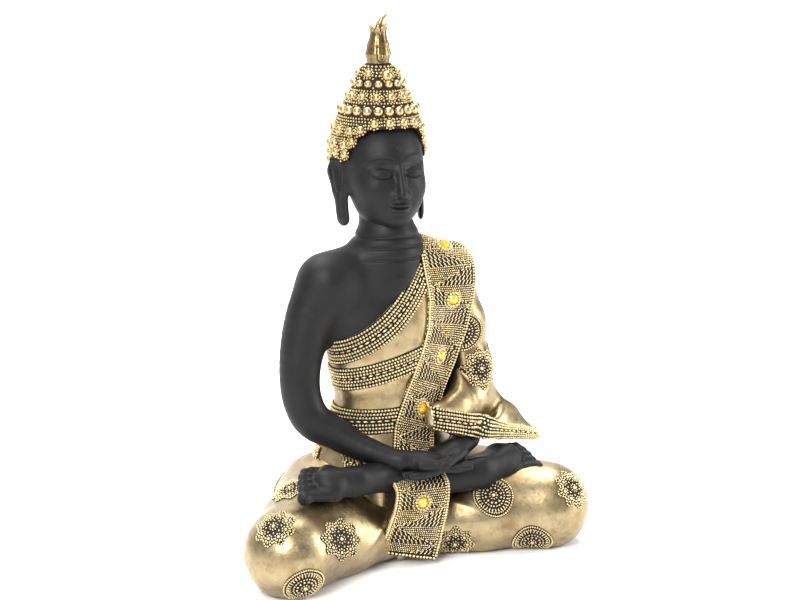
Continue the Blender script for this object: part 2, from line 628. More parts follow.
class Skin:
    """A piece's triangles, for drawing lines on it where a field has a given value."""

    def __init__(self, piece):
        mesh = piece.data
        mesh.calc_loop_triangles()
        self.points = self.read(mesh.vertices, "co", np.float32) / MM
        self.normals = self.read(mesh.vertices, "normal", np.float32)
        self.tris = self.read(mesh.loop_triangles, "vertices", np.int32)
        self.columns = [self.points[:, i] for i in range(3)]

    @staticmethod
    def read(items, key, kind):
        values = np.empty(len(items) * 3, kind)
        items.foreach_get(key, values)
        return values.reshape(-1, 3)

    def tree(self):
        return BVHTree.FromPolygons(self.points.tolist(), self.tris.tolist())

    def lines(self, values, allowed):
        """Paths of (point, normal) where values cross zero and allowed is negative."""
        above = values > 0
        corner = above[self.tris]
        crossing = corner.any(1) & ~corner.all(1) & (allowed[self.tris] < 0).all(1)
        links = {}
        for tri in self.tris[crossing].tolist():
            ends = [tuple(sorted((tri[i], tri[i - 1]))) for i in range(3)
                    if above[tri[i]] != above[tri[i - 1]]]
            links.setdefault(ends[0], []).append(ends[1])
            links.setdefault(ends[1], []).append(ends[0])
        seen, paths = set(), []
        starts = sorted(e for e in links if len(links[e]) == 1) + sorted(links)
        for start in starts:
            if start in seen:
                continue
            walk, edge = [], start
            while edge is not None:
                seen.add(edge)
                t = values[edge[0]] / (values[edge[0]] - values[edge[1]])
                point = self.points[edge[0]] * (1 - t) + self.points[edge[1]] * t
                normal = self.normals[edge[0]] * (1 - t) + self.normals[edge[1]] * t
                walk.append((Vector(point.tolist()), Vector(normal.tolist())))
                edge = next((e for e in links[edge] if e not in seen), None)
            if len(walk) > 3:
                paths.append(walk)
        return paths


def distances(points):
    """How far along a run of points each one lies."""
    marks = [0.0]
    for a, b in zip(points, points[1:]):
        marks.append(marks[-1] + (b - a).length)
    return marks


def evenly(points, pitch):
    """Points and normals spaced by pitch along a path of (point, normal)."""
    result, carried = [], 0.0
    for (a, na), (b, nb) in zip(points, points[1:]):
        length = (b - a).length
        if length > 6.0:
            carried = 0.0
            continue
        while carried <= length and length > 0:
            t = carried / length
            result.append((a.lerp(b, t), na.lerp(nb, t), (b - a).normalized()))
            carried += pitch
        carried -= length
    return result


def band_rows(beads, skin, seat, level, allowed, width=BAND_W):
    """Three rows of beads, a row of rods, and three more rows across a band hanging below level zero."""
    rows = 7

    def seated(place, normal):
        hit = seat.ray_cast(place + normal * 4.0, -normal, 5.0)[0]
        return hit if hit is not None else place + normal * (BAND_T - 0.1)

    for row in range(rows):
        down = width * (row + 0.55) / (rows + 0.1)
        for path in skin.lines(level + down, allowed):
            if row == rows // 2:
                for place, normal, along in evenly(path, 4.2):
                    beads.rod(seated(place, normal), normal, along, 3.5, 0.6)
            else:
                for place, normal, _ in evenly(path, 1.9):
                    beads.bead(seated(place, normal), normal, 0.84 + random.uniform(-0.06, 0.06), 0.85)


def between(level, width):
    """Region of a band that hangs below level zero."""
    return np.abs(level + width / 2.0) - width / 2.0


def strip(name, body, region, thick, low, high, voxel=0.7, depth=1.0):
    """Thin conforming strip on a body field, inside a region field."""
    def field(p):
        d = body(p)
        return keep(keep(d - thick, -d - depth, 0.3), region(p), 0.5)
    return sculpt(name, field, low, high, voxel)


# -------- sash

# Stations of the shoulder sash: x, z, and how many degrees it faces up.
SASH_PATH = [(29.5, 211.0, 89), (29.5, 203.0, 74), (29.5, 196.0, 62), (30.0, 186.0, 42), (31.0, 172.0, 18),
             (31.0, 155.0, 0), (28.0, 138.0, 0), (23.0, 121.0, 0), (16.5, 106.0, 0), (9.5, 91.0, 0),
             (4.0, 78.0, 0), (1.0, 64.0, 0)]
SHOULDER_PIVOT = 176.0
ZIG = 12.0
BACK_X, BACK_LOW, BACK_LENGTH = 24.0, 59.0, 143.5


def sash_width(z):
    return smooth_lookup(np.asarray(z, np.float32),
                         [(60, 27), (78, 28), (91, 29), (121, 31), (155, 33), (175, 36), (200, 38)])


def sash_region(p):
    """Within half the sash's width of its centre line, seen from the front."""
    gap = None
    for (x0, z0, _), (x1, z1, _) in zip(SASH_PATH, SASH_PATH[1:]):
        dx, dz = x1 - x0, z1 - z0
        t = np.clip(((p[0] - x0) * dx + (p[2] - z0) * dz) / (dx * dx + dz * dz), 0.0, 1.0)
        d = np.sqrt((p[0] - x0 - t * dx) ** 2 + (p[2] - z0 - t * dz) ** 2)
        gap = d if gap is None else np.minimum(gap, d)
    return keep(gap - sash_width(p[2]) * 0.5, p[1] - (AXIS[1] + 4.0), 1.0)


def back_region(p):
    centre = BACK_X + (p[2] - 62.0) * 0.05
    off = np.abs(p[0] - centre) - SASH_W * 0.5
    return keep(keep(off, AXIS[1] + 1.0 - p[1], 1.0), tilted(p, 18.0, 190.0, NECK_SLOPE), 1.0)


def sash_frame(s):
    """Middle of the sash at s (0 to 1) along it, its run in the front plane, and how far it faces up."""
    place = min(max(s, 0.0), 1.0) * (len(SASH_PATH) - 1)
    i = min(int(place), len(SASH_PATH) - 2)
    t = place - i
    a, b, c, d = neighbours(SASH_PATH, i)
    x, z, lift = (b[n] + (c[n] - b[n]) * t for n in range(3))
    run_x = (c[0] - a[0]) * (1 - t) + (d[0] - b[0]) * t
    run_z = (c[1] - a[1]) * (1 - t) + (d[1] - b[1]) * t
    run = hypot(run_x, run_z)
    return x, z, run_x / run, run_z / run, radians(lift)


def cast(tree, pivot, out):
    """Point and normal where a ray comes in on a pivot from the direction out."""
    hit, normal, _, _ = tree.ray_cast(pivot + out * 70.0, -out)
    return (hit, normal) if hit is not None else None


def sash_point(tree, s, u):
    """Point and normal on the sash at s along its path (0 to 1) and u across it, in mm."""
    x, z, run_x, run_z, lift = sash_frame(s)
    x, z = x - u * run_z, z + u * run_x
    out = Vector((0.0, -cos(lift), sin(lift)))
    pivot = Vector((x, AXIS[1] + 2.0, min(z, SHOULDER_PIVOT + 0.2 * (z - SHOULDER_PIVOT))))
    return cast(tree, pivot, out)


def sash_ruler(tree):
    """Distance down the sash's middle for evenly spaced values of s."""
    marks, last = [0.0], None
    for i in range(81):
        hit = sash_point(tree, i / 80.0, 0.0)
        if hit is None:
            hit = last
        elif last is not None:
            marks.append(marks[-1] + (hit[0] - last[0]).length)
        last = hit
    return marks


def sash_relief(beads, place, width_at, length):
    """Edge rows, then a ground of fine beads broken by zigzag ridges, hatched triangles and small flowers."""
    def put(u, v, r, h=None):
        spot = place(u, v)
        if spot:
            beads.bead(spot[0], spot[1], r, h)

    def ridge(u, v, du, dv, run, r):
        spot, ahead = place(u, v), place(u + du * 0.5, v + dv * 0.5)
        if spot and ahead and (ahead[0] - spot[0]).length > 0.05:
            beads.rod(spot[0], spot[1], ahead[0] - spot[0], run, r)

    rows = int(length / 1.65)
    for i in range(rows):
        v = (i + 0.5) * length / rows
        w = width_at(v) / 2.0
        for side in (-1, 1):
            put(side * (w - 0.1), v, 0.9, 0.95)
            put(side * (w - 1.8), v, 0.66)
            rim, inside = place(side * (w - 0.1), v), place(side * (w - 1.1), v)
            if rim and inside and (rim[0] - inside[0]).length < 1.6:
                outward = (rim[0] - inside[0]).normalized()
                beads.bead(rim[0] + outward * 0.35 - rim[1] * 1.5, outward, 0.72)
    step = 1.32
    for i in range(int(length / step)):
        v = (i + 0.5) * step
        inner = width_at(v) / 2.0 - 2.7
        wave = abs((v / ZIG) % 2.0 - 1.0)
        cell = int(v / ZIG)
        count = int(2 * inner / step)
        for k in range(count + 1):
            u = -inner + 2 * inner * (k + 0.5 * (i % 2)) / (count + 0.5)
            t = (u + inner) / (2 * inner)
            gap = (t - wave) * 2 * inner
            if abs(gap) < 1.5:
                if abs(gap) < 0.75:
                    slope = 2 * inner / ZIG * (1.0 if cell % 2 else -1.0)
                    scale = hypot(slope, 1.0)
                    ridge(u - gap, v, slope / scale, 1.0 / scale, 2.6, 0.5)
                continue
            hatched = (gap > 0) == (cell % 2 == 0) and abs(gap) > 2.4
            if hatched:
                if k % 2 == 0:
                    lean = 1.0 if cell % 2 else -1.0
                    ridge(u, v, 0.62 * lean, 0.78, 1.9, 0.38)
            else:
                put(u, v, 0.49 + random.uniform(-0.07, 0.07), 0.7)


# -------- medallions


def compass(azimuth, elevation):
    a, e = radians(azimuth), radians(elevation)
    return Vector((sin(a) * cos(e), -cos(a) * cos(e), sin(e)))


def polar(reach, angle):
    return reach * cos(angle), reach * sin(angle)


def disc_frame(centre, azimuth, elevation):
    out = compass(azimuth, elevation)
    across = Vector((0, 0, 1)).cross(out).normalized()
    return Vector(centre), out, across, out.cross(across)


def on_disc(tree, spot, u, v):
    centre, out, across, up = spot
    hit, normal, _, _ = tree.ray_cast(centre + across * u + up * v + out * 60.0, -out, 75.0)
    if hit is None or normal.dot(out) < 0.15 or hit.z < FELT + 0.6:
        return None
    return hit, normal


def medallion(beads, plates, tree, spot, radius, lobes):
    """Flower or rosette: a thin plate with rings of beads, petals and ticks."""
    edge = (lambda a: radius * (0.90 + 0.10 * cos(lobes * a))) if lobes else (lambda a: radius)

    def put(u, v, r, h=None):
        hit = on_disc(tree, spot, u, v)
        if hit:
            beads.bead(hit[0] + hit[1] * 0.35, hit[1], r, h)

    def ring(distance, count, r, follow=False, start=0.0):
        for a in circle(count, start):
            reach = edge(a) - distance if follow else distance
            put(*polar(reach, a), r)

    ring(0.7, 54, 0.68, True)
    ring(2.3, 44, 0.56, True)
    put(0, 0, 1.35)
    ring(2.3, 9, 0.52)
    if lobes:
        for a in circle(lobes):
            cu, cv = polar(radius * 0.60, a)
            put(cu, cv, 1.1)
            for b in circle(8):
                put(cu + 1.9 * cos(b + a), cv + 1.9 * sin(b + a), 0.58)
            a += pi / lobes
            put(*polar(radius * 0.36, a), 0.6)
    else:
        for a in circle(30):
            hit = on_disc(tree, spot, *polar(radius * 0.72, a))
            if hit:
                along = spot[2] * cos(a) + spot[3] * sin(a)
                beads.rod(hit[0] + hit[1] * 0.35, hit[1], along, 2.6, 0.45)
        ring(radius * 0.53, 24, 0.58)
        ring(radius * 0.38, 12, 0.75, start=0.5)
    rings, sides = 5, 48
    grid = []
    for i in range(rings + 1):
        for a in circle(sides):
            reach = edge(a) * min(1.0, i / (rings - 1.0))
            hit = on_disc(tree, spot, *polar(reach, a))
            grid.append(None if hit is None else hit[0] + hit[1] * (0.45 if i < rings else -0.3))
    plates.append((grid, rings, sides))


def plate_mesh(name, plates):
    verts, faces = [], []
    for grid, rings, sides in plates:
        index = {}
        for i, point in enumerate(grid):
            if point is not None:
                index[i] = len(verts)
                verts.append(tuple(point))
        for i in range(rings):
            for k in range(sides):
                k2 = (k + 1) % sides
                corners = [i * sides + k, (i + 1) * sides + k, (i + 1) * sides + k2, i * sides + k2]
                if i == 0:
                    corners = [0, corners[1], corners[2]]
                if all(c in index for c in corners) and len(set(corners)) == len(corners):
                    faces.append([index[c] for c in corners])
    return mesh_object(name, verts, faces)


# -------- stones


def stone_mesh(name, spots, radius, height):
    """Round stones with a table, sixteen facets and a girdle, axis along each normal."""
    verts, faces = [], []
    sides = 8
    rings = [(1.0, -0.10, 0.0), (1.0, 0.16, 0.0), (0.80, 0.62, 0.5), (0.50, 0.95, 0.0)]
    for place, normal in spots:
        normal = Vector(normal).normalized()
        across = normal.orthogonal().normalized()
        up = normal.cross(across)
        first = len(verts)
        for scale, lift, twist in rings:
            for a in circle(sides, twist):
                flat = across * cos(a) + up * sin(a)
                verts.append(tuple(Vector(place) + flat * radius * scale + normal * height * lift))
        top = len(verts)
        verts.append(tuple(Vector(place) + normal * height))
        for k in range(sides):
            k2 = (k + 1) % sides
            a0, b0, c0, d0 = (first + i * sides for i in range(4))
            faces += [[a0 + k, a0 + k2, b0 + k2, b0 + k], [b0 + k, b0 + k2, c0 + k],
                      [b0 + k2, c0 + k2, c0 + k], [c0 + k, c0 + k2, d0 + k2], [c0 + k, d0 + k2, d0 + k],
                      [d0 + k, d0 + k2, top]]
        faces.append([first + k for k in reversed(range(sides))])
    return mesh_object(name, verts, faces, smooth=False)


# -------- materials


class Look:
    """A Principled material and the nodes that colour it."""

    def __init__(self, name, roughness, metallic=0.0, **constants):
        self.material = bpy.data.materials.new(name)
        self.material.use_nodes = True
        self.tree = self.material.node_tree
        self.shader = self.tree.nodes["Principled BSDF"]
        self.set("Roughness", roughness)
        self.set("Metallic", metallic)
        for key, value in constants.items():
            self.set(key.replace("_", " "), value)
        self.coords = self.tree.nodes.new("ShaderNodeTexCoord").outputs["Object"]

    def set(self, socket, value):
        self.shader.inputs[socket].default_value = value

    def link(self, output, socket):
        self.tree.links.new(output, socket)

    def noise(self, size_mm, detail=3.0, rough=0.55):
        node = self.tree.nodes.new("ShaderNodeTexNoise")
        node.inputs["Scale"].default_value = 1.0 / (size_mm * MM)
        node.inputs["Detail"].default_value = detail
        node.inputs["Roughness"].default_value = rough
        self.link(self.coords, node.inputs["Vector"])
        return node.outputs["Fac"]

    def ramp(self, source, *stops):
        node = self.tree.nodes.new("ShaderNodeValToRGB")
        elements = node.color_ramp.elements
        while len(elements) < len(stops):
            elements.new(0.5)
        for element, (place, colour) in zip(elements, stops):
            element.position = place
            element.color = (*colour, 1.0) if isinstance(colour, tuple) else (colour, colour, colour, 1.0)
        self.link(source, node.inputs["Fac"])
        return node.outputs["Color"]

    def pointiness(self):
        return self.tree.nodes.new("ShaderNodeNewGeometry").outputs["Pointiness"]

    def mix(self, a, b, factor, mode="MULTIPLY"):
        node = self.tree.nodes.new("ShaderNodeMix")
        node.data_type = "RGBA"
        node.blend_type = mode
        for socket, value in ((node.inputs[6], a), (node.inputs[7], b), (node.inputs[0], factor)):
            if isinstance(value, bpy.types.NodeSocket):
                self.link(value, socket)
            elif isinstance(value, tuple):
                socket.default_value = (*value, 1.0)
            else:
                socket.default_value = value
        return node.outputs[2]

    def colour(self, output):
        self.link(output, self.shader.inputs["Base Color"])

    def rough(self, output):
        self.link(output, self.shader.inputs["Roughness"])

    def bump(self, source, depth_mm, strength=0.6):
        node = self.tree.nodes.new("ShaderNodeBump")
        node.inputs["Strength"].default_value = strength
        node.inputs["Distance"].default_value = depth_mm * MM
        self.link(source, node.inputs["Height"])
        self.link(node.outputs["Normal"], self.shader.inputs["Normal"])


def gilded(name, bright, deep, roughness, metallic, grain, edge=(0.485, 0.535), speck=True):
    """Antique gold over a dark ground: the ground stays in recesses and small specks, edges rub bright."""
    look = Look(name, roughness, metallic)
    tone = look.ramp(look.noise(grain * 6, 4.0), (0.35, tuple(0.82 * v for v in bright)), (0.65, bright))
    worn = look.ramp(look.pointiness(), (edge[0], 0.0), (edge[1], 1.0))
    colour = look.mix(deep, tone, worn, "MIX")
    if speck:
        specks = look.ramp(look.noise(grain, 5.0, 0.7), (0.30, 0.15), (0.38, 1.0))
        colour = look.mix(colour, specks, 0.6)
        smudges = look.ramp(look.noise(grain * 9, 7.0, 0.68), (0.36, 0.42), (0.47, 1.0))
        colour = look.mix(colour, smudges, 0.55)
        patina = look.ramp(look.noise(grain * 20, 3.0), (0.36, (0.55, 0.45, 0.33)), (0.54, (1.0, 1.0, 1.0)))
        colour = look.mix(colour, patina, 0.8)
    look.colour(colour)
    look.rough(look.ramp(look.noise(grain * 1.5, 3.0), (0.3, roughness + 0.12), (0.7, roughness - 0.05)))
    look.bump(look.noise(grain * 1.6, 5.0, 0.65), 0.22)
    return look.material


def plain(name, dark, light, roughness, size_mm, bump_mm=0.05, **constants):
    look = Look(name, roughness, **constants)
    look.colour(look.ramp(look.noise(size_mm, 4.0), (0.3, dark), (0.7, light)))
    look.rough(look.ramp(look.noise(size_mm * 0.5, 2.0), (0.3, roughness - 0.05), (0.7, roughness + 0.07)))
    look.bump(look.noise(size_mm * 0.12, 3.0), bump_mm)
    return look.material


SKIN = plain("black_skin", (0.0052, 0.0048, 0.0052), (0.0085, 0.0080, 0.0083), 0.50, 14.0, 0.03,
             Specular_IOR_Level=0.22)
GROUND = plain("dark_ground", (0.004, 0.003, 0.002), (0.016, 0.011, 0.006), 0.6, 1.6, 0.12,
               Specular_IOR_Level=0.2)
CLOTH = gilded("antique_gold_cloth", (0.78, 0.655, 0.395), (0.13, 0.08, 0.03), 0.31, 0.94, 1.3)
GOLD = gilded("bead_gold", (0.74, 0.60, 0.34), (0.16, 0.10, 0.04), 0.27, 0.95, 0.8, (0.42, 0.52), False)
CAP_GOLD = gilded("cap_gold", (0.50, 0.375, 0.185), (0.10, 0.06, 0.025), 0.24, 0.97, 0.8, (0.42, 0.52), False)
METAL = gilded("finial_gold", (0.46, 0.34, 0.165), (0.04, 0.024, 0.01), 0.27, 0.97, 0.9, (0.475, 0.53))
FELT_LOOK = plain("felt", (0.010, 0.010, 0.011), (0.028, 0.027, 0.027), 0.95, 0.8, 0.25, Sheen_Weight=0.3)
RAW = plain("raw_resin", (0.035, 0.032, 0.029), (0.065, 0.060, 0.055), 0.7, 6.0, 0.08)


def amber():
    look = Look("amber_stone", 0.06, 0.25, IOR=1.6, Coat_Weight=1.0, Coat_Roughness=0.02)
    look.colour(look.ramp(look.noise(3.0, 2.0), (0.3, (0.56, 0.27, 0.004)), (0.7, (0.80, 0.48, 0.008))))
    return look.material


AMBER = amber()

# -------- castings

def gore(p):
    """Plain cloth that falls between the shins in three pleats."""
    top = [-4, -6, 20, 4]
    d = blend(cone(p, top, [-22, -4, 4, 3]), cone(p, top, [-8, -17, 4, 3.4]), 5.0)
    d = blend(d, cone(p, top, [8, -22, 4, 3.4]), 5.0)
    ripple = 0.8 * np.sin(np.arctan2(p[0] + 4, -p[1] - 2) * 9.0)
    return keep(d - ripple, FELT - p[2], 0.5)


# Each casting: field, low and high corner, voxel, look, slot, and the CAD nodes it stands for.
CASTINGS = {
    "bare_body": (bare_body, (-76, -45, 55), (34, 36, 212), 0.6, SKIN, "black_skin",
                  "bare_chest", "right_arm", "right_hand"),
    "upper_robe": (upper_robe, (-50, -20, 20), (46, 55, 200), 0.75, CLOTH, "antique_gold_cloth",
                   "robe_torso"),
    "lower_robe": (lower_robe, (LOW[0], LOW[1], 0), (HIGH[0], HIGH[1], 66), 0.92, CLOTH, "antique_gold_cloth",
                   "legs_casting"),
    "left_sleeve": (left_sleeve, (6, -30, 50), (100, 40, 184), 0.7, CLOTH, "antique_gold_cloth",
                    "left_sleeve"),
    "left_hand": (lambda p: hand([p[0], p[1], p[2] + 1.5], LEFT_WRIST, -1.0), (-25, -46, 46), (48, 2, 96),
                  0.45, SKIN, "black_skin", "left_hand"),
    "right_foot": (lambda p: foot(p, RIGHT_FOOT, 1.0), (0, -36, 34), (96, 10, 74), 0.45, SKIN, "black_skin",
                   "right_foot"),
    "left_foot": (lambda p: foot(p, LEFT_FOOT, -1.0), (-92, -46, 34), (2, -4, 72), 0.45, SKIN, "black_skin",
                  "left_foot"),
    "head": (head, (-42, -24, 194), (32, 50, 266), 0.45, SKIN, "black_skin", "head", "right_ear", "left_ear"),
    "hair_cap": (hair_cap, (-36, -10, 220), (26, 52, 298), 0.5, GROUND, "dark_patina", "hair_cap"),
    "flame_finial": (finial, (HEAD_X - 13, CAP_Y - 13, 289), (HEAD_X + 13, CAP_Y + 13, HIGH[2]), 0.3,
                     METAL, "antique_gold_metal", "flame_finial"),
    "cloth_gore": (gore, (-30, -30, 0), (16, 4, 28), 0.6, CLOTH, "antique_gold_cloth", "cloth_gore"),
}
castings = {}
for name, (field, low, high, voxel, look, slot, *nodes) in CASTINGS.items():
    castings[name] = finish_piece(sculpt(name, field, low, high, voxel), look, slot, *nodes)

for node, look in (("base_plate", RAW), ("base_felt", FELT_LOOK)):
    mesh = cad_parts[node].data
    mesh.materials.clear()
    mesh.materials.append(look)

# -------- trims on the robe

robe_skin, lap_skin, sleeve_skin = (Skin(castings[n]) for n in ("upper_robe", "lower_robe", "left_sleeve"))


def off_sash(p):
    """Negative where neither sash covers the robe."""
    return np.maximum(-sash_region(p), -back_region(p))


def below_neckline(p):
    return keep(off_sash(p), neckline(p) + BAND_W, 0.5)


def behind_arm(p):
    """Negative on the right flank and all round the back."""
    front = np.where(p[1] < 20, 1.0, 0.0)
    return keep(off_sash(p), -36 - (p[0] - AXIS[0]) * front - 60 * (1.0 - front), 0.5)


def trim(name, beads_name, body, skin, level, width, free, box, voxel=0.6, room=0.8):
    """A dark band on a body, hanging below a level line, with its rows of beads."""
    def region(p):
        return keep(between(level(p), width(p)), free(p), 0.5)

    base = strip(name, body, region, BAND_T, *box, voxel)
    finish_piece(base, GROUND, "beaded_trim", name)
    beads = Beads()
    at = skin.columns
    band_rows(beads, skin, Skin(base).tree(), level(at), free(at) + room, width(at))
    beads.gild(beads_name)


ROBE_BOX = (-52, -24, 50), (50, 56, 204)
for name, level, width, free in (
        ("neckline_trim", neckline, BAND_W, off_sash),
        ("chest_trim", lambda p: tilted(p, -6, 126, 16), BAND_W, below_neckline),
        ("waist_trim", lambda p: tilted(p, -3, 94, 3), 15.0, off_sash),
        ("back_hem_trim", lambda p: p[2] - 66.0, 8.5, behind_arm)):
    trim(name, name + "_beads", robe_body, robe_skin, level, lambda p: width, free, ROBE_BOX)

# Upper edge and width of the band along the sleeve's lip, by x.
LIP_EDGE = [(12, 94), (34, 88), (47, 83.5), (62, 77), (90, 66.5), (96, 64)]
LIP_WIDE = [(12, 13.5), (47, 13.5), (62, 10.5), (90, 6), (96, 5)]


def lip_level(p):
    """Height above the upper edge of the sleeve's hem band."""
    return p[2] - smooth_lookup(p[0], LIP_EDGE)


def lip_width(p):
    return smooth_lookup(p[0], LIP_WIDE)


def lip_free(p):
    return np.maximum(p[1] - 6.0 - (p[0] > 70) * 8.0, 12.0 - p[0])


trim("sleeve_hem_trim", "sleeve_hem_beads", left_sleeve, sleeve_skin, lip_level, lip_width, lip_free,
     ((8, -30, 50), (100, 20, 100)), 0.55, 0.0)

# -------- sashes


def sash_body(p):
    return blend(trunk(p), chain(p, SLEEVE, 8.0), 18.0)


def sash(name, region, low, high, depth):
    """Dark ground of a sash; returns its search tree."""
    piece = strip(name, sash_body, region, SASH_T, low, high, 0.6, depth)
    finish_piece(piece, GROUND, "beaded_relief", name)
    return Skin(piece).tree()


shoulder_tree = sash("shoulder_sash", sash_region, (-18, -28, 58), (56, 22, 206), 4.0)
ruler = sash_ruler(shoulder_tree)


def shoulder_s(v):
    index = min(max(int(np.searchsorted(ruler, v)), 1), len(ruler) - 1)
    step = ruler[index] - ruler[index - 1]
    return (index - 1 + (v - ruler[index - 1]) / max(step, 1e-6)) / (len(ruler) - 1.0)


def on_shoulder(u, v):
    return sash_point(shoulder_tree, shoulder_s(v), u)


def shoulder_width(v):
    return float(sash_width(sash_frame(shoulder_s(v))[1])) - 0.8


beads = Beads()
sash_relief(beads, on_shoulder, shoulder_width, ruler[-1] - 2.0)
beads.gild("shoulder_sash_beads", template=FINE_BEAD)

back_tree = sash("back_sash", back_region, (0, 10, 58), (52, 56, 206), 1.0)


def on_back(u, v):
    z = BACK_LOW + v
    top = min(z, SHOULDER_PIVOT)
    lift = radians(max(0.0, (z - top) * 3.4))
    out = Vector((0.0, cos(lift), sin(lift)))
    return cast(back_tree, Vector((BACK_X + v * 0.05 + u, AXIS[1] + 2.0, top)), out)


beads = Beads()
sash_relief(beads, on_back, lambda v: SASH_W - 1.5, BACK_LENGTH)
beads.gild("back_sash_beads", template=FINE_BEAD)

FRONT = [(-2, -24, 56, 0), (-2, -33, 51, 0), (-4, -36, 40, -2), (-7, -32, 22, -8), (-10, -28, 6.5, -14)]
FRONT_HALF = 17.2


def front_point(s, u):
    x, y, z, turn = curve_at(FRONT, min(max(s, 0.0), 0.9999) * (len(FRONT) - 1))
    a = radians(turn)
    crown = 1.2 * (1.0 - (u / FRONT_HALF) ** 2) + 0.25 * sin(u * 0.5 + s * 5.0)
    return Vector((x + u * cos(a), y - crown + u * sin(a), z - 0.22 * u * s * s))


def front_spot(s, u, lift=0.0):
    here = front_point(s, u)
    down = front_point(s + 0.02, u) - front_point(s - 0.02, u)
    side = front_point(s, u + 0.5) - front_point(s, u - 0.5)
    normal = down.cross(side).normalized()
    if normal.y > 0:
        normal = -normal
    return here + normal * lift, normal


def front_mesh(name, thick):
    verts, faces = [], []
    long_steps, wide_steps = 60, 24
    for lift in (0.0, -thick):
        for i in range(long_steps + 1):
            for k in range(wide_steps + 1):
                u = FRONT_HALF * (2.0 * k / wide_steps - 1.0)
                edge = 0.5 * (abs(u) / FRONT_HALF) ** 12
                verts.append(tuple(front_spot(0.01 + 0.98 * i / long_steps, u, lift - edge)[0]))
    row = wide_steps + 1
    half = row * (long_steps + 1)
    for i in range(long_steps):
        for k in range(wide_steps):
            a = i * row + k
            faces.append([a, a + row, a + row + 1, a + 1])
            faces.append([half + a, half + a + 1, half + a + row + 1, half + a + row])
    for i in range(long_steps):
        for k in (0, wide_steps):
            a = i * row + k
            quad = [a, half + a, half + a + row, a + row]
            faces.append(quad if k == 0 else quad[::-1])
    for k in range(wide_steps):
        for i in (0, long_steps):
            a = i * row + k
            quad = [a, a + 1, half + a + 1, half + a]
            faces.append(quad if i == 0 else quad[::-1])
    return mesh_object(name, verts, faces)


finish_piece(front_mesh("front_sash", 2.4), GROUND, "beaded_relief", "front_sash")
front_marks = distances([front_point(i / 80.0, 0) for i in range(81)])


def on_front(u, v):
    return front_spot(float(np.interp(v, front_marks, np.linspace(0.0, 1.0, 81))), u, -0.05)


beads = Beads()
sash_relief(beads, on_front, lambda v: 2 * FRONT_HALF - 0.6, front_marks[-1] - 2.5)
for i in range(16):
    u = -FRONT_HALF + 1.2 + (2 * FRONT_HALF - 2.4) * i / 15.0
    spot = on_front(u, front_marks[-1] - 1.6)
    beads.bead(spot[0], spot[1], 0.95)
beads.gild("front_sash_beads", template=FINE_BEAD)

# -------- stones

STONE_SPOTS = [(30, 5, 186.5), (31, -3.8, 155.5), (24, -3.2, 121), (9.6, -8.2, 91)]
STONE_R, STONE_H = 3.4, 2.4
settings = []
for spot in STONE_SPOTS:
    place, normal, _, _ = shoulder_tree.find_nearest(Vector(spot))
    settings.append((place + normal * 0.5, normal))
place, normal = on_front(-1.0, front_marks[-1] * 0.34)
settings.append((place + normal * 0.5, normal))
rings = Beads()
for place, normal in settings:
    across = normal.orthogonal().normalized()
    up = normal.cross(across)
    for ring_r, count, r, lift in ((STONE_R + 0.85, 14, 0.95, 0.35), (STONE_R + 2.35, 22, 0.62, -0.3)):
        for a in circle(count):
            rings.bead(place + (across * cos(a) + up * sin(a)) * ring_r + normal * lift, normal, r)
rings.gild("stone_rings", "stone_rings")
finish_piece(stone_mesh("set_stones", settings, STONE_R, STONE_H), AMBER, "amber_stone", "set_stones")

# -------- medallions

MEDAL_R = 12.5
LEG_MEDALS = [(RIGHT_KNEE, -54, 51, 8), (RIGHT_KNEE, -1, -30, 0), ([-68, -14, 27], -115, 69, 8),
              ([-52, -22, 20], -20, 24, 8), (LEFT_KNEE, 21, 36, 8), ([71, -20, 23], -4, -42, 0),
              ([52, -17, 20], -22, 52, 0), ([28, -9, 12], -16, -10, 8), (LEFT_HIP, 128, 12, 8),
              (RIGHT_HIP, -128, 12, 8)]
ROBE_MEDALS = [((49, 17, 132), -30, 2, 0), ((51, 14, 110), 8, -4, 8), ((52, 15, 112), 120, 0, 8),
               ((-3, 17, 82), 160, 0, 8), ((-3, 17, 112), 205, 0, 0)]
lap_tree = lap_skin.tree()
robe_count = len(robe_skin.points)
robe_tree = BVHTree.FromPolygons(np.concatenate([robe_skin.points, sleeve_skin.points]).tolist(),
                                 np.concatenate([robe_skin.tris, sleeve_skin.tris + robe_count]).tolist())
for name, spots, tree in (("leg_medallions", LEG_MEDALS, lap_tree),
                          ("robe_medallions", ROBE_MEDALS, robe_tree)):
    beads, plates = Beads(), []
    for centre, azimuth, elevation, lobes in spots:
        medallion(beads, plates, tree, disc_frame(centre[:3], azimuth, elevation), MEDAL_R, lobes)
    finish_piece(plate_mesh(name, plates), GROUND, "beaded_relief", name)
    beads.gild(name + "_beads")

# -------- cap ornament


def on_cap(turn, z):
    """Point and normal on the cap at a turn from the front, in degrees, and a height."""
    a = radians(turn)
    signed = (turn + 180.0) % 360.0 - 180.0
    r = float(cap_radius(z)) - float(temple(signed, z))
    lean = float(cap_radius(z + 0.5) - cap_radius(z - 0.5))
    normal = Vector((sin(a), -cos(a), -lean)).normalized()
    return Vector((HEAD_X + r * sin(a), CAP_Y - r * cos(a), z)), normal


def rosette(domes, beads, turn, z, r, count=10, bead=0.85):
    """A dome in a ring of beads; returns its place."""
    place, normal = on_cap(turn, z)
    across = Vector((0, 0, 1)).cross(normal).normalized()
    up = normal.cross(across)
    domes.bead(place - normal * 0.2, normal, r, r * 0.85)
    for a in circle(count, 0.5):
        spot = place + (across * cos(a) + up * sin(a)) * (r + bead * 0.65)
        beads.bead(spot - normal * 0.25, normal, bead)
    return place


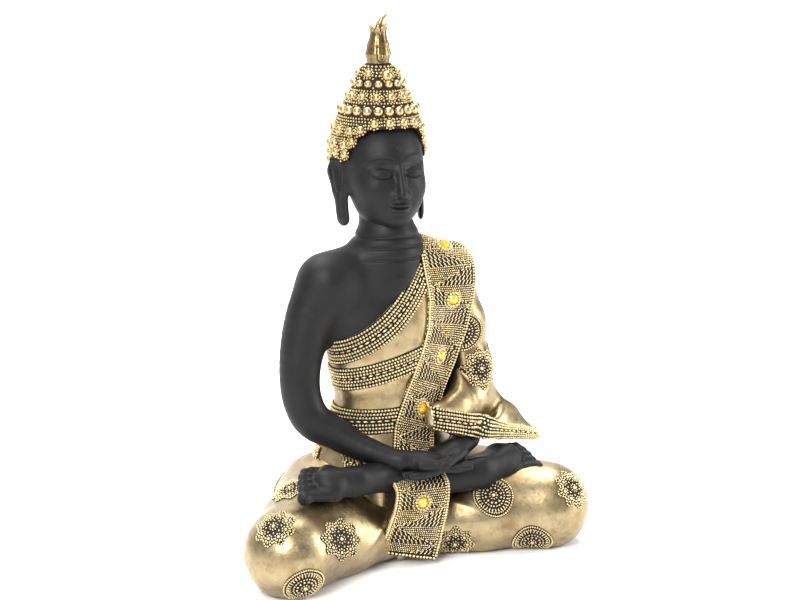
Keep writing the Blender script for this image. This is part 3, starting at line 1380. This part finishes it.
ROSETTE_PITCH, ROSETTE_R = 8.9, 2.6
BALL_ROWS = ((269.5, 22, 3.0, 0.5), (284.5, 15, 2.5, 0.0))  # height, count, radius, phase
FILLER_LOW, FILLER_TOP, ROW_STEP = 228.0, 294.0, 1.7
FILLER_PITCH, FILLER_R, CLEARANCE = 1.9, 0.8, 3.6
domes, small = Beads(), Beads()
centres = []
turns = [i / 2.0 for i in range(-356, 361, 4)]
walk = [on_cap(turn, float(hairline(turn)) + 3.0)[0] for turn in turns]
marks = distances(walk)
count = int(marks[-1] / ROSETTE_PITCH)
for k in range(count):
    turn = float(np.interp((k + 0.5) * marks[-1] / count, marks, turns))
    centres.append(rosette(domes, small, turn, float(hairline(turn)) + 3.6, ROSETTE_R))
for z, first in ((258.0, 64), (249.5, 72), (241.0, 112), (233.0, 146)):
    step = degrees(ROSETTE_PITCH * 1.02 / float(cap_radius(z)))
    reach = int((180.0 - first) / step)
    for k in range(-reach, reach + 1):
        centres.append(rosette(domes, small, 180.0 + k * step, z, ROSETTE_R))
for z, count, r, phase in BALL_ROWS:
    for k in range(count):
        turn = 360.0 * (k + phase) / count
        place, normal = on_cap(turn, z)
        domes.bead(place - normal * 0.2, normal, r)
        centres.append(place)
for k in range(13):
    centres.append(rosette(domes, small, 27.7 * k, 277.3, 2.4))
for k in range(7):
    front = k == 0
    centres.append(rosette(domes, small, 51.43 * k, 290.4 - front, 3.3 if front else 2.3, 13 if front else 9))
for k in range(22):
    place, normal = on_cap(16.4 * k, 294.2)
    small.bead(place - normal * 0.3, normal, 1.0)
# Small beads fill what the rosettes and balls leave free.
grid_z = FILLER_LOW
while grid_z < FILLER_TOP:
    around = max(6, int(2 * pi * float(cap_radius(grid_z)) / FILLER_PITCH))
    for k in range(around):
        turn = 360.0 * (k + 0.5 * (int(grid_z) % 2)) / around
        signed = turn - 360.0 if turn > 180.0 else turn
        place, normal = on_cap(turn, grid_z)
        if grid_z > float(hairline(signed)) + 1.0 and all((place - c).length > CLEARANCE for c in centres):
            small.bead(place - normal * 0.2, normal, FILLER_R)
    grid_z += ROW_STEP
finish_piece(domes.build("cap_beads", BIG_BEAD), CAP_GOLD, "gold_beads", "cap_beads")
finish_piece(small.build("cap_rosettes"), CAP_GOLD, "gold_beads", "cap_rosettes")

# -------- room, light and camera


def floor_sweep():
    """Pale floor that curves up into a backdrop."""
    verts, faces = [], []
    profile = [(-4.0, 0.0), (1.2, 0.0)]
    profile += [(1.2 + 0.8 * sin(a), 0.8 - 0.8 * cos(a)) for a in
                (radians(10 * i) for i in range(1, 10))] + [(2.0, 4.0)]
    for y, z in profile:
        verts += [(-5.0 / MM, y / MM, z / MM), (5.0 / MM, y / MM, z / MM)]
    for i in range(len(profile) - 1):
        faces.append([2 * i, 2 * i + 1, 2 * i + 3, 2 * i + 2])
    return mesh_object("floor", verts, faces)


floor = floor_sweep()
floor.data.materials.append(plain("paper", (0.86, 0.86, 0.86), (0.89, 0.89, 0.89), 0.75, 90.0, 0.02))

world = bpy.data.worlds.new("room")
bpy.context.scene.world = world
world.use_nodes = True
world.node_tree.nodes["Background"].inputs["Color"].default_value = (1.0, 1.0, 1.0, 1.0)
world.node_tree.nodes["Background"].inputs["Strength"].default_value = 0.5


def soft_light(name, place, size, power, target=(0.0, 0.0, 0.15)):
    light = bpy.data.lights.new(name, "AREA")
    light.shape = "RECTANGLE"
    light.size, light.size_y = size
    light.energy = power
    lamp = bpy.data.objects.new(name, light)
    bpy.context.collection.objects.link(lamp)
    lamp.location = place
    lamp.rotation_euler = (Vector(target) - Vector(place)).to_track_quat("-Z", "Y").to_euler()


soft_light("key", (-1.0, -1.0, 1.1), (0.7, 0.9), 36.0)
soft_light("fill", (1.3, -0.6, 0.5), (0.5, 1.0), 17.0)
soft_light("top", (0.1, 0.3, 1.7), (1.4, 1.0), 32.0)
soft_light("sweep", (0.0, 1.0, 2.4), (3.0, 1.5), 60.0, (0.0, 1.5, 0.4))

CAMERA_TURN, CAMERA_RISE, CAMERA_FAR = -25.0, 12.5, 1.2
TARGET = Vector((-3.0, 13.0, 165.0)) * MM
camera = bpy.data.cameras.new("camera")
camera.lens = 90.3
camera.sensor_width = 36.0
camera.shift_x = 0.0145
camera.shift_y = -0.0215
camera.clip_end = 20.0
shooter = bpy.data.objects.new("camera", camera)
bpy.context.collection.objects.link(shooter)
shooter.location = TARGET + compass(CAMERA_TURN, CAMERA_RISE) * CAMERA_FAR
shooter.rotation_euler = (TARGET - shooter.location).to_track_quat("-Z", "Y").to_euler()
bpy.context.scene.camera = shooter
bpy.context.scene.view_settings.view_transform = "Standard"
